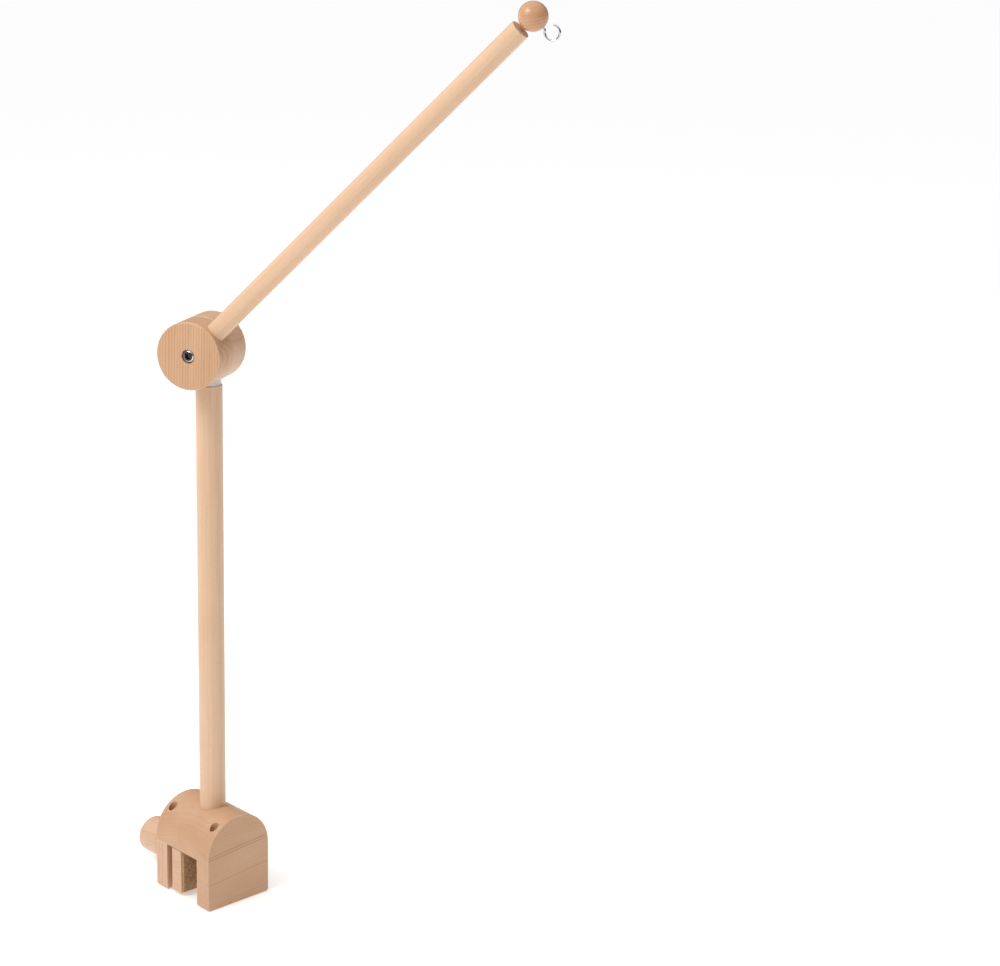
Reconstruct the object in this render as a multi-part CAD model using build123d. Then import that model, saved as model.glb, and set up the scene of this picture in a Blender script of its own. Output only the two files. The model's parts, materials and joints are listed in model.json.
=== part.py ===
"""Wooden crib-mobile arm: a rail clamp, a post, a two-disc knuckle, an arm, a ball and a hook.

Frame: millimetres, +Z up.  The origin is on the post's axis, in the ceiling of the slot that sits
on the crib's rail.  +X points across the rail into the crib and +Y runs along the rail.
"""

from build123d import *
import math
import os

# ---- driving dimensions: the clamp that straddles the rail
clamp_width = 74.0
clamp_front_x = 40.0
clamp_rear_x = -43.0
jaw_thickness = 17.7
jaw_drop = 49.0
spring_height = 4.0
wood_round = 1.5
jaw_corner_round = 3.0

# ---- the screws that hold the two jaws under the saddle
jaw_screw_y = 22.3
jaw_screw_d = 5.0
jaw_screw_length = 50.0
jaw_head_d = 8.0
jaw_head_h = 3.4
jaw_head_round = 1.2
jaw_recess_width = 2.6
jaw_recess_depth = 2.0
jaw_screw_point = 1.2
jaw_counterbore_d = 8.6
jaw_screw_seat_z = 16.0

# ---- the post and how it stands in the saddle
post_d = 25.0
post_foot_z = 12.0
post_top_z = 460.0
post_chamfer = 0.6
post_screw_d = 6.0
post_screw_length = 45.0
post_screw_point = 1.5
post_head_d = 12.0
post_head_h = 3.5
post_head_round = 1.0
post_key_across = 4.0
post_key_depth = 2.2
post_counterbore_d = 13.0
post_counterbore_depth = 5.0

# ---- the pressure shoe, its screw and its knob
rail_thickness = 22.0
pad_thickness = 2.5
pad_round = 2.0
shoe_thickness = 14.3
shoe_inset = 1.0
shoe_top_gap = 1.0
shoe_drop = 46.0
shoe_round = 1.0
pad_inset = 2.0
knob_d = 36.0
knob_length = 30.0
knob_rear_x = -99.5
knob_round = 2.5
screw_z = -24.0
screw_d = 8.0
screw_neck_d = 6.0
screw_neck_length = 7.5
screw_end_round = 0.8
screw_past_insert = 2.0
clip_d = 11.0
clip_thickness = 1.2
clip_bore_d = 4.9
clip_mouth = 3.6
clip_groove_d = 4.8
clip_groove_width = 1.3
clip_play = 0.3
plate_width = 34.0
plate_height = 20.0
plate_thickness = 2.0
plate_round = 3.0
plate_screw_pitch = 24.0
plate_screw_d = 3.0
plate_screw_length = 9.0
plate_head_d = 5.6
plate_head_sink = 0.1
plate_head_slot = 0.8
plate_head_slot_depth = 0.6
plate_screw_point = 0.8
insert_d = 12.0
insert_flange_d = 19.0
insert_flange_h = 1.5
insert_set_in = 0.5
knob_insert_length = 14.0
knob_pin_d = 3.0
knob_pin_set_in = 6.0

# ---- the knuckle: two discs on one bolt, over a plastic saddle washer
knuckle_z = 495.0
knuckle_d = 63.0
disc_thickness = 27.8
disc_gap = 0.8
rim_round = 1.2
seam_chamfer = 0.8
swivel_deg = 26.8
saddle_washer_d = 22.6
saddle_washer_reach = 0.8
washer_clearance = 0.1
swivel_stud_d = 8.0
swivel_stud_low_z = 437.0
swivel_stud_top_z = 484.0
stud_chamfer = 0.8
post_insert_length = 18.0
friction_ring_d = 40.0
friction_ring_bore_d = 16.0
friction_ring_pocket = 1.0
bolt_d = 6.0
bolt_head_d = 12.0
bolt_head_h = 3.3
bolt_socket_af = 5.0
bolt_socket_depth = 2.4
bolt_counterbore_d = 13.0
bolt_counterbore_depth = 4.6
bolt_washer_thickness = 1.0
bolt_washer_d = 12.4
bolt_head_rim = 0.5
bolt_point = 0.6
bolt_end_set_in = 1.0
nut_barrel_d = 8.0
nut_length = 11.0
nut_flange_d = 19.0
nut_flange_h = 1.5
nut_flange_chamfer = 0.3

# ---- the arm, its ball and its hook
arm_deg = 45.4
arm_d = 18.4
arm_foot_radius = 18.0
arm_end_radius = 433.0
arm_round = 0.8
arm_stud_d = 6.0
arm_stud_in_disc = 10.0
arm_stud_in_arm = 30.0
ball_d = 25.7
ball_gap = 1.8
ball_dowel_d = 6.0
ball_dowel_length = 32.0
ball_dowel_past_centre = 1.0
ball_dowel_chamfer = 0.5
hook_wire_d = 2.2
hook_ring_radius = 6.6
hook_ring_ahead = 3.0
hook_ring_below = 21.0
hook_neck_radius = 3.0
hook_root_below = 5.0
hook_sweep_deg = 262.0

# ---- fits
glue_fit = 0.03
running_fit = 0.05
clearance = 0.2
shoulder_gap = 0.1
hole_end_gap = 0.5

# ---- how far a cutter runs on past the face it opens
run_out = 1.0

# ---- worked out from the dimensions above
half_width = clamp_width / 2
arch_radius = half_width
slot_front_x = clamp_front_x - jaw_thickness
slot_rear_x = clamp_rear_x + jaw_thickness
front_screw_x = clamp_front_x - jaw_thickness / 2
rear_screw_x = clamp_rear_x + jaw_thickness / 2
pad_face = slot_front_x - pad_thickness
shoe_pad_face = pad_face - rail_thickness
shoe_front = shoe_pad_face - pad_thickness
shoe_back = shoe_front - shoe_thickness
knuckle_radius = knuckle_d / 2
half_disc = disc_thickness / 2
front_disc_back = -half_disc - disc_gap
front_disc_face = front_disc_back - disc_thickness
arm_y = front_disc_back - disc_thickness / 2
ball_radius_out = arm_end_radius + ball_gap + ball_d / 2
knob_front_x = knob_rear_x + knob_length
knob_pin_x = knob_front_x - knob_insert_length / 2
knob_pin_reach = knob_d / 2 - knob_pin_set_in
clip_groove_x = shoe_back + plate_thickness + clip_play
clip_x = clip_groove_x + (clip_groove_width - clip_thickness) / 2
bolt_seat_y = front_disc_face + bolt_counterbore_depth
bolt_head_seat_y = bolt_seat_y - bolt_washer_thickness


def rod(diameter, start, end):
    """Round bar between two points."""
    start = Vector(start)
    run = Vector(end) - start
    frame = Plane(origin=start, z_dir=run)
    return frame * Cylinder(diameter / 2, run.length, align=(Align.CENTER, Align.CENTER, Align.MIN))


def taper(start_d, end_d, start, end):
    """Round taper between two points."""
    start = Vector(start)
    run = Vector(end) - start
    frame = Plane(origin=start, z_dir=run)
    return frame * Cone(start_d / 2, end_d / 2, run.length, align=(Align.CENTER, Align.CENTER, Align.MIN))


def block(low, high):
    """Rectangular block between its lowest and highest corners."""
    size = [b - a for a, b in zip(low, high)]
    return Pos(*low) * Box(*size, align=(Align.MIN, Align.MIN, Align.MIN))


def swung(shape):
    """The upper assembly is drawn with its arm over +X, then swung about the post."""
    return Rot(0, 0, swivel_deg) * shape


def on_arm(along, across=0.0):
    """Point in the arm's plane: along the arm from the knuckle's axis, across it towards its top."""
    tilt = math.radians(arm_deg)
    x = along * math.cos(tilt) - across * math.sin(tilt)
    z = along * math.sin(tilt) + across * math.cos(tilt)
    return (x, arm_y, knuckle_z + z)


def save(name, *shapes):
    """Write one node; several shapes stay separate solids."""
    shape = shapes[0] if len(shapes) == 1 else Compound(children=list(shapes))
    export_step(shape, f"parts/{name}.step")


# ---------------------------------------------------------------- the clamp
def jaw_screw_spots():
    """The four screw axes, each over the middle of a jaw's thickness."""
    return [(x, y) for x in (rear_screw_x, front_screw_x) for y in (-jaw_screw_y, jaw_screw_y)]


def saddle_block():
    """Arched bridge block: a half round on short straight sides, bored for the post and the screws."""
    top = spring_height + arch_radius
    wall = block((clamp_rear_x, -half_width, 0), (clamp_front_x, half_width, spring_height))
    start = (clamp_rear_x, 0, spring_height)
    arch = rod(2 * arch_radius, start, (clamp_front_x, 0, spring_height))
    arch &= block((clamp_rear_x, -half_width, spring_height), (clamp_front_x, half_width, top + run_out))
    body = arch + wall
    rims = body.edges().filter_by(Plane.YZ).sort_by(Axis.X)
    ends = [e for e in rims if is_end(e.center().X) and e.center().Z > 0]
    body = fillet(ends, wood_round)
    body -= rod(post_d + 2 * glue_fit, (0, 0, post_foot_z), (0, 0, top + run_out))
    body -= rod(post_counterbore_d, (0, 0, -run_out), (0, 0, post_counterbore_depth))
    body -= rod(post_screw_d + 2 * clearance, (0, 0, 0), (0, 0, post_foot_z + run_out))
    for x, y in jaw_screw_spots():
        body -= rod(jaw_counterbore_d, (x, y, jaw_screw_seat_z), (x, y, top))
        body -= rod(jaw_screw_d + 2 * clearance, (x, y, -run_out), (x, y, jaw_screw_seat_z))
    return body


def is_end(x):
    """Whether a place along X lies in one of the clamp's two outer faces."""
    return x > clamp_front_x - 0.01 or x < clamp_rear_x + 0.01


def jaw(low_x, high_x):
    """Flat jaw board under one end of the saddle, between two places along X."""
    board = block((low_x, -half_width, -jaw_drop), (high_x, half_width, 0))
    corners = [e for e in board.edges().group_by(Axis.Z)[0] if not is_end(e.center().X)]
    board = fillet(corners, jaw_corner_round)
    rim = [e for e in board.edges() if is_end(e.center().X) and e.center().Z < 0]
    board = fillet(rim, wood_round)
    tip = jaw_screw_seat_z - jaw_screw_length - hole_end_gap
    for x, y in jaw_screw_spots():
        if low_x < x < high_x:
            board -= rod(jaw_screw_d + 2 * glue_fit, (x, y, tip), (x, y, run_out))
    return board


def rear_jaw():
    """Outer jaw, bored for the clamp screw's threaded insert, whose flange sits on the slot side."""
    board = jaw(clamp_rear_x, slot_rear_x)
    board -= rod(insert_d + 2 * glue_fit, (clamp_rear_x - run_out, 0, screw_z), (slot_rear_x, 0, screw_z))
    seat = slot_rear_x - insert_flange_h
    board -= rod(insert_flange_d + 2 * glue_fit, (seat, 0, screw_z), (slot_rear_x + run_out, 0, screw_z))
    return board


def jaw_screws():
    """Four cap screws: a domed head with a square recess, on a plain shank with a tapered tip."""
    screws = []
    for x, y in jaw_screw_spots():
        seat = jaw_screw_seat_z
        tip = seat - jaw_screw_length
        head = rod(jaw_head_d, (x, y, seat), (x, y, seat + jaw_head_h))
        head = fillet(head.edges().sort_by(Axis.Z)[-1], jaw_head_round)
        shank = rod(jaw_screw_d, (x, y, tip), (x, y, seat))
        shank = chamfer(shank.edges().sort_by(Axis.Z)[0], jaw_screw_point)
        half = jaw_recess_width / 2
        top = seat + jaw_head_h
        recess = block((x - half, y - half, top - jaw_recess_depth), (x + half, y + half, top + run_out))
        screws.append(head + shank - recess)
    return screws


def screw_insert():
    """Flanged threaded sleeve in the rear jaw that the clamp screw turns in."""
    barrel = rod(insert_d, (clamp_rear_x + insert_set_in, 0, screw_z), (slot_rear_x, 0, screw_z))
    seat = slot_rear_x - insert_flange_h
    flange = rod(insert_flange_d, (seat, 0, screw_z), (slot_rear_x, 0, screw_z))
    bore_d = screw_d + 2 * running_fit
    bore = rod(bore_d, (clamp_rear_x, 0, screw_z), (slot_rear_x + run_out, 0, screw_z))
    return barrel + flange - bore


def front_jaw_pad():
    """Cork facing glued to the fixed jaw."""
    low = (pad_face, -half_width + 2 * pad_inset, -jaw_drop + pad_inset)
    high = (slot_front_x, half_width - 2 * pad_inset, -pad_inset)
    return fillet(block(low, high).edges().filter_by(Axis.X), pad_round)


# ---------------------------------------------------------------- the post
def post():
    """Round post, bored at the foot for its screw and at the top for the swivel's insert."""
    body = rod(post_d, (0, 0, post_foot_z), (0, 0, post_top_z))
    body = chamfer(body.edges().filter_by(GeomType.CIRCLE), post_chamfer)
    screw_tip = post_counterbore_depth + post_screw_length
    body -= rod(post_screw_d + 2 * glue_fit, (0, 0, 0), (0, 0, screw_tip + hole_end_gap))
    seat = post_top_z - post_insert_length
    body -= rod(insert_d + 2 * glue_fit, (0, 0, seat), (0, 0, post_top_z + run_out))
    body -= rod(swivel_stud_d + 2 * clearance, (0, 0, swivel_stud_low_z - hole_end_gap), (0, 0, seat))
    return body


def post_screw():
    """Hex-socket screw up through the slot's ceiling into the post's foot."""
    seat = post_counterbore_depth
    shank = rod(post_screw_d, (0, 0, seat), (0, 0, seat + post_screw_length))
    shank = chamfer(shank.edges().sort_by(Axis.Z)[-1], post_screw_point)
    head = rod(post_head_d, (0, 0, seat - post_head_h), (0, 0, seat))
    head = fillet(head.edges().sort_by(Axis.Z)[0], post_head_round)
    hexagon = RegularPolygon(post_key_across / 2, 6, major_radius=False)
    key = Pos(0, 0, seat - post_head_h) * extrude(hexagon, post_key_depth)
    return head + shank - key


def post_insert():
    """Threaded sleeve in the post's top for the swivel stud."""
    low = post_top_z - post_insert_length
    sleeve = rod(insert_d, (0, 0, low), (0, 0, post_top_z - insert_set_in))
    return sleeve - rod(swivel_stud_d + 2 * running_fit, (0, 0, low - run_out), (0, 0, post_top_z))


# ---------------------------------------------------------------- the pressure shoe
def plate_screw_spots():
    """The two screws of the retaining plate, left and right of the clamp screw."""
    return [-plate_screw_pitch / 2, plate_screw_pitch / 2]


def pressure_shoe():
    """Wooden shoe that the screw drives along the slot, pocketed for the screw's neck and plate."""
    low = (shoe_back, -half_width + shoe_inset, -shoe_drop)
    high = (shoe_front, half_width - shoe_inset, -shoe_top_gap)
    body = block(low, high)
    body = fillet(body.edges(), shoe_round)
    half_y = plate_width / 2 + clearance
    half_z = plate_height / 2 + clearance
    low = (shoe_back - run_out, -half_y, screw_z - half_z)
    high = (shoe_back + plate_thickness, half_y, screw_z + half_z)
    body -= block(low, high)
    pocket_end = shoe_back + screw_neck_length + hole_end_gap
    body -= rod(clip_d + 3, (shoe_back, 0, screw_z), (pocket_end, 0, screw_z))
    tip = shoe_back + plate_screw_length + hole_end_gap
    for y in plate_screw_spots():
        body -= rod(plate_screw_d + 2 * glue_fit, (shoe_back, y, screw_z), (tip, y, screw_z))
    return body


def pressure_pad():
    """Cork facing glued to the shoe."""
    low = (shoe_front, -half_width + shoe_inset + pad_inset, -shoe_drop + pad_inset)
    high = (shoe_pad_face, half_width - shoe_inset - pad_inset, -shoe_top_gap - pad_inset)
    return fillet(block(low, high).edges().filter_by(Axis.X), pad_round)


def thrust_plate():
    """Steel plate that the screw's shoulder pushes on and its clip pulls back, countersunk for two screws."""
    low = (shoe_back, -plate_width / 2, screw_z - plate_height / 2)
    high = (shoe_back + plate_thickness, plate_width / 2, screw_z + plate_height / 2)
    plate = fillet(block(low, high).edges().filter_by(Axis.X), plate_round)
    start_x = low[0] - run_out
    end_x = high[0] + run_out
    plate -= rod(screw_neck_d + 2 * clearance, (start_x, 0, screw_z), (end_x, 0, screw_z))
    sink = (plate_head_d - plate_screw_d) / 2 + plate_head_sink
    wide = plate_screw_d + 2 * sink + 2 * clearance
    for y in plate_screw_spots():
        hole_d = plate_screw_d + 2 * clearance
        plate -= rod(hole_d, (start_x, y, screw_z), (end_x, y, screw_z))
        plate -= taper(wide, hole_d, (shoe_back, y, screw_z), (shoe_back + sink, y, screw_z))
    return plate


def thrust_plate_screws():
    """Two slotted flat-head screws that hold the plate to the shoe, their heads just under its face."""
    screws = []
    face = shoe_back + plate_head_sink
    cone_end = face + (plate_head_d - plate_screw_d) / 2
    for y in plate_screw_spots():
        head = taper(plate_head_d, plate_screw_d, (face, y, screw_z), (cone_end, y, screw_z))
        shank = rod(plate_screw_d, (cone_end, y, screw_z), (shoe_back + plate_screw_length, y, screw_z))
        shank = chamfer(shank.edges().sort_by(Axis.X)[-1], plate_screw_point)
        low = (face - run_out, y - plate_head_d, screw_z - plate_head_slot / 2)
        high = (face + plate_head_slot_depth, y + plate_head_d, screw_z + plate_head_slot / 2)
        screws.append(head + shank - block(low, high))
    return screws


# ---------------------------------------------------------------- the clamp screw and its knob
def knob_cross_hole():
    """Cross hole for the pin that keys the knob to its screw."""
    reach = knob_pin_reach + hole_end_gap
    return rod(knob_pin_d + 2 * glue_fit, (knob_pin_x, -reach, screw_z), (knob_pin_x, reach, screw_z))


def clamp_screw():
    """Screw with a turned-down neck at the shoe, grooved for the clip and cross-bored for the pin."""
    end = knob_front_x - knob_insert_length - screw_past_insert
    shoulder = shoe_back - shoulder_gap
    neck_end = shoulder + screw_neck_length
    body = rod(screw_d, (end, 0, screw_z), (shoulder, 0, screw_z))
    body = chamfer(body.edges().sort_by(Axis.X)[0], screw_end_round)
    body += rod(screw_neck_d, (shoulder, 0, screw_z), (neck_end, 0, screw_z))
    groove = rod(screw_d, (clip_groove_x, 0, screw_z), (clip_groove_x + clip_groove_width, 0, screw_z))
    groove -= rod(clip_groove_d, (shoulder, 0, screw_z), (neck_end, 0, screw_z))
    return body - groove - knob_cross_hole()


def screw_clip():
    """Open retaining clip in the neck's groove."""
    far = clip_x + clip_thickness
    ring = rod(clip_d, (clip_x, 0, screw_z), (far, 0, screw_z))
    ring -= rod(clip_bore_d, (clip_x - run_out, 0, screw_z), (far + run_out, 0, screw_z))
    low = (clip_x - run_out, -clip_mouth / 2, screw_z - clip_d)
    high = (far + run_out, clip_mouth / 2, screw_z)
    return ring - block(low, high)


def clamp_knob():
    """Plain turned knob with rounded rims."""
    body = rod(knob_d, (knob_rear_x, 0, screw_z), (knob_front_x, 0, screw_z))
    body = fillet(body.edges().filter_by(GeomType.CIRCLE), knob_round)
    seat = knob_front_x - knob_insert_length
    body -= rod(insert_d + 2 * glue_fit, (seat, 0, screw_z), (knob_front_x + run_out, 0, screw_z))
    end = seat - screw_past_insert - hole_end_gap
    body -= rod(screw_d + 2 * clearance, (end, 0, screw_z), (seat, 0, screw_z))
    return body - knob_cross_hole()


def knob_insert():
    """Threaded sleeve pressed into the knob."""
    seat = knob_front_x - knob_insert_length
    sleeve = rod(insert_d, (seat, 0, screw_z), (knob_front_x, 0, screw_z))
    bore = rod(screw_d + 2 * glue_fit, (seat - run_out, 0, screw_z), (knob_front_x + run_out, 0, screw_z))
    return sleeve - bore - knob_cross_hole()


def knob_pin():
    """Cross pin through knob, sleeve and screw."""
    return rod(knob_pin_d, (knob_pin_x, -knob_pin_reach, screw_z), (knob_pin_x, knob_pin_reach, screw_z))


# ---------------------------------------------------------------- the swivel head
def saddle_washer():
    """Plastic washer: flat on the post, hollowed on top to seat the round rear disc."""
    top = knuckle_z - knuckle_radius * saddle_washer_reach
    body = rod(saddle_washer_d, (0, 0, post_top_z), (0, 0, top))
    seat_d = knuckle_d + 2 * washer_clearance
    body -= rod(seat_d, (0, -knuckle_d, knuckle_z), (0, knuckle_d, knuckle_z))
    return body - rod(swivel_stud_d + 2 * clearance, (0, 0, post_top_z - run_out), (0, 0, top))


def rear_disc():
    """Disc on the post: bored for the bolt, its nut, the swivel stud and the friction ring."""
    start = -half_disc - run_out
    end = half_disc + run_out
    body = rod(knuckle_d, (0, -half_disc, knuckle_z), (0, half_disc, knuckle_z))
    body = fillet(body.edges().filter_by(GeomType.CIRCLE).sort_by(Axis.Y)[-1], rim_round)
    body = chamfer(body.edges().filter_by(GeomType.CIRCLE).sort_by(Axis.Y)[0], seam_chamfer)
    body -= rod(bolt_d + 2 * clearance, (0, start, knuckle_z), (0, end, knuckle_z))
    body -= rod(nut_barrel_d + 2 * glue_fit, (0, half_disc - nut_length, knuckle_z), (0, end, knuckle_z))
    body -= rod(nut_flange_d + 2 * clearance, (0, half_disc - nut_flange_h, knuckle_z), (0, end, knuckle_z))
    pocket = -half_disc + friction_ring_pocket
    body -= rod(friction_ring_d + 2 * clearance, (0, start, knuckle_z), (0, pocket, knuckle_z))
    top = swivel_stud_top_z + hole_end_gap
    body -= rod(swivel_stud_d + 2 * glue_fit, (0, 0, post_top_z), (0, 0, top))
    return body


def swivel_stud():
    """Stud fixed in the rear disc that turns in the post's sleeve."""
    body = rod(swivel_stud_d, (0, 0, swivel_stud_low_z), (0, 0, swivel_stud_top_z))
    return chamfer(body.edges().filter_by(GeomType.CIRCLE), stud_chamfer)


def friction_ring():
    """Fibre ring let into the rear disc, proud enough to keep the two discs apart."""
    low = front_disc_back
    high = -half_disc + friction_ring_pocket
    ring = rod(friction_ring_d, (0, low, knuckle_z), (0, high, knuckle_z))
    return ring - rod(friction_ring_bore_d, (0, low - run_out, knuckle_z), (0, high + run_out, knuckle_z))


def knuckle_nut():
    """Flanged nut let into the back of the rear disc."""
    start = half_disc - nut_length
    barrel = rod(nut_barrel_d, (0, start, knuckle_z), (0, half_disc, knuckle_z))
    flange = rod(nut_flange_d, (0, half_disc - nut_flange_h, knuckle_z), (0, half_disc, knuckle_z))
    rims = flange.edges().filter_by(GeomType.CIRCLE).sort_by(Axis.Y)
    flange = chamfer(rims[-1], nut_flange_chamfer)
    bore_d = bolt_d + 2 * running_fit
    return barrel + flange - rod(bore_d, (0, start - run_out, knuckle_z), (0, half_disc + run_out, knuckle_z))


# ---------------------------------------------------------------- the tilting arm
def front_disc():
    """Disc that tilts with the arm: counterbored for the bolt and socketed for the arm."""
    start = front_disc_face - run_out
    body = rod(knuckle_d, (0, front_disc_face, knuckle_z), (0, front_disc_back, knuckle_z))
    body = fillet(body.edges().filter_by(GeomType.CIRCLE).sort_by(Axis.Y)[0], rim_round)
    body = chamfer(body.edges().filter_by(GeomType.CIRCLE).sort_by(Axis.Y)[-1], seam_chamfer)
    body -= rod(bolt_d + 2 * clearance, (0, start, knuckle_z), (0, 0, knuckle_z))
    body -= rod(bolt_counterbore_d, (0, start, knuckle_z), (0, bolt_seat_y, knuckle_z))
    body -= rod(arm_d + 2 * glue_fit, on_arm(arm_foot_radius), on_arm(knuckle_radius + arm_d))
    stud_tip = arm_foot_radius - arm_stud_in_disc - hole_end_gap
    body -= rod(arm_stud_d + 2 * glue_fit, on_arm(stud_tip), on_arm(knuckle_radius))
    return body


def knuckle_bolt():
    """Button-head bolt through both discs into the nut; the head carries a hex socket."""
    top = bolt_head_seat_y - bolt_head_h
    head = rod(bolt_head_d, (0, top, knuckle_z), (0, bolt_head_seat_y, knuckle_z))
    crown = head.edges().filter_by(GeomType.CIRCLE).sort_by(Axis.Y)[0]
    head = fillet(crown, bolt_head_h - bolt_head_rim)
    shank = rod(bolt_d, (0, bolt_head_seat_y, knuckle_z), (0, half_disc - bolt_end_set_in, knuckle_z))
    shank = chamfer(shank.edges().filter_by(GeomType.CIRCLE).sort_by(Axis.Y)[-1], bolt_point)
    face = Plane(origin=(0, top, knuckle_z), z_dir=(0, 1, 0))
    hexagon = face * RegularPolygon(bolt_socket_af / 2, 6, major_radius=False)
    return head + shank - extrude(hexagon, bolt_socket_depth)


def bolt_washer():
    """Plain washer under the bolt's head."""
    ring = rod(bolt_washer_d, (0, bolt_head_seat_y, knuckle_z), (0, bolt_seat_y, knuckle_z))
    return ring - rod(bolt_d + 2 * clearance, (0, front_disc_face, knuckle_z), (0, 0, knuckle_z))


def arm_rod():
    """Round arm: its foot glued into the front disc, its end bored for the ball's dowel."""
    body = rod(arm_d, on_arm(arm_foot_radius), on_arm(arm_end_radius))
    body = chamfer(body.edges().filter_by(GeomType.CIRCLE), arm_round)
    stud_end = arm_foot_radius + arm_stud_in_arm + hole_end_gap
    body -= rod(arm_stud_d + 2 * glue_fit, on_arm(0), on_arm(stud_end))
    dowel_foot = ball_radius_out - ball_dowel_past_centre - ball_dowel_length - hole_end_gap
    body -= rod(ball_dowel_d + 2 * glue_fit, on_arm(dowel_foot), on_arm(arm_end_radius + run_out))
    return body


def arm_stud():
    """Double-ended stud joining disc and arm."""
    low = arm_foot_radius - arm_stud_in_disc
    body = rod(arm_stud_d, on_arm(low), on_arm(arm_foot_radius + arm_stud_in_arm))
    return chamfer(body.edges().filter_by(GeomType.CIRCLE), stud_chamfer)


def hook_path():
    """Hook's centre line in the arm's plane: a stem, a small neck bend, and most of a ring."""
    def at(ahead, below):
        return Vector(*on_arm(ball_radius_out + ahead, -below))

    reach = hook_ring_radius + hook_neck_radius
    drop = math.sqrt(reach ** 2 - (hook_ring_ahead + hook_neck_radius) ** 2)
    neck_below = hook_ring_below - drop
    turn = math.atan2(drop, hook_ring_ahead + hook_neck_radius)

    def on_neck(angle):
        ahead = -hook_neck_radius + hook_neck_radius * math.cos(angle)
        return at(ahead, neck_below + hook_neck_radius * math.sin(angle))

    def on_ring(angle):
        ahead = hook_ring_ahead + hook_ring_radius * math.cos(angle)
        return at(ahead, hook_ring_below + hook_ring_radius * math.sin(angle))

    start = math.pi + turn
    sweep = math.radians(hook_sweep_deg)
    stem = Line(at(0, hook_root_below), at(0, neck_below))
    neck = ThreePointArc(on_neck(0), on_neck(turn / 2), on_neck(turn))
    first = ThreePointArc(on_ring(start), on_ring(start - sweep / 4), on_ring(start - sweep / 2))
    second = ThreePointArc(on_ring(start - sweep / 2), on_ring(start - 0.75 * sweep), on_ring(start - sweep))
    return Wire([stem, neck, first, second])


def hook():
    """Open wire hook screwed into the ball, at right angles to the arm."""
    path = hook_path()
    section = Plane(origin=path @ 0, z_dir=path % 0) * Circle(hook_wire_d / 2)
    body = sweep(section, path=path)
    tip = Pos(*(path @ 1)) * Sphere(hook_wire_d / 2)
    return body + tip


def ball_finial():
    """Ball on the arm's end, bored for its dowel and for the hook."""
    body = Pos(*on_arm(ball_radius_out)) * Sphere(ball_d / 2)
    dowel_tip = ball_radius_out - ball_dowel_past_centre + hole_end_gap
    body -= rod(ball_dowel_d + 2 * glue_fit, on_arm(arm_end_radius - run_out), on_arm(dowel_tip))
    root = on_arm(ball_radius_out, hole_end_gap - hook_root_below)
    body -= rod(hook_wire_d + 2 * glue_fit, root, on_arm(ball_radius_out, -ball_d))
    return body


def ball_dowel():
    """Wooden dowel between arm and ball."""
    end = ball_radius_out - ball_dowel_past_centre
    body = rod(ball_dowel_d, on_arm(end - ball_dowel_length), on_arm(end))
    return chamfer(body.edges().filter_by(GeomType.CIRCLE), ball_dowel_chamfer)


os.makedirs("parts", exist_ok=True)

save("saddle_block", saddle_block())
save("front_jaw", jaw(slot_front_x, clamp_front_x))
save("rear_jaw", rear_jaw())
save("jaw_screws", *jaw_screws())
save("screw_insert", screw_insert())
save("front_jaw_pad", front_jaw_pad())
save("post", post())
save("post_screw", post_screw())
save("post_insert", post_insert())

save("pressure_shoe", pressure_shoe())
save("pressure_pad", pressure_pad())
save("thrust_plate", thrust_plate())
save("thrust_plate_screws", *thrust_plate_screws())

save("clamp_screw", clamp_screw())
save("screw_clip", screw_clip())
save("clamp_knob", clamp_knob())
save("knob_insert", knob_insert())
save("knob_pin", knob_pin())

save("saddle_washer", swung(saddle_washer()))
save("rear_disc", swung(rear_disc()))
save("swivel_stud", swung(swivel_stud()))
save("friction_ring", swung(friction_ring()))
save("knuckle_nut", swung(knuckle_nut()))

save("front_disc", swung(front_disc()))
save("knuckle_bolt", swung(knuckle_bolt()))
save("bolt_washer", swung(bolt_washer()))
save("arm_rod", swung(arm_rod()))
save("arm_stud", swung(arm_stud()))
save("ball_finial", swung(ball_finial()))
save("ball_dowel", swung(ball_dowel()))
save("hook", swung(hook()))
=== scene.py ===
"""Looks of the wooden crib-mobile arm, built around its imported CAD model.  Metres, the CAD's own frame."""

import bpy
import json
import math
import numpy as np
from mathutils import Matrix, Vector


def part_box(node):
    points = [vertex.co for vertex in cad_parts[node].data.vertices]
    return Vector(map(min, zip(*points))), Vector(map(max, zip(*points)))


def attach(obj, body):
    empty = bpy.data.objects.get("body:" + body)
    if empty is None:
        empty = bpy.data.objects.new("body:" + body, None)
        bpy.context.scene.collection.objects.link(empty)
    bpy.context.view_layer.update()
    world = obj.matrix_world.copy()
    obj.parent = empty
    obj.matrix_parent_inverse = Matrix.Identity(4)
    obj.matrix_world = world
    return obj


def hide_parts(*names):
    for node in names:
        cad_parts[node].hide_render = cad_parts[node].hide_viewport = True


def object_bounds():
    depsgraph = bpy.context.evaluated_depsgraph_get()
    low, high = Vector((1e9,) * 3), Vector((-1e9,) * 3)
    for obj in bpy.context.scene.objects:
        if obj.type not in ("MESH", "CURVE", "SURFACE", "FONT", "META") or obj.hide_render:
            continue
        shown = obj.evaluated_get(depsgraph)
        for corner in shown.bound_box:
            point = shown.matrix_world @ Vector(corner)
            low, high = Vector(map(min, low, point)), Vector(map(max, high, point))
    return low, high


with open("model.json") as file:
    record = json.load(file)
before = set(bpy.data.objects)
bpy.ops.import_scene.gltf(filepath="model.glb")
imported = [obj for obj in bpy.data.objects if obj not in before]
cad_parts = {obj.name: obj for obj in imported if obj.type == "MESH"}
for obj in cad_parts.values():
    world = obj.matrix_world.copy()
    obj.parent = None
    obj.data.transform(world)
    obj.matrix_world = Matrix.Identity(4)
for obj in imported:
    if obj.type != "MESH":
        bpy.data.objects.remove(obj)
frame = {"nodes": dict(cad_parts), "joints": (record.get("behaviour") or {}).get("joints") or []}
cad_low, cad_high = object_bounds()

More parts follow.
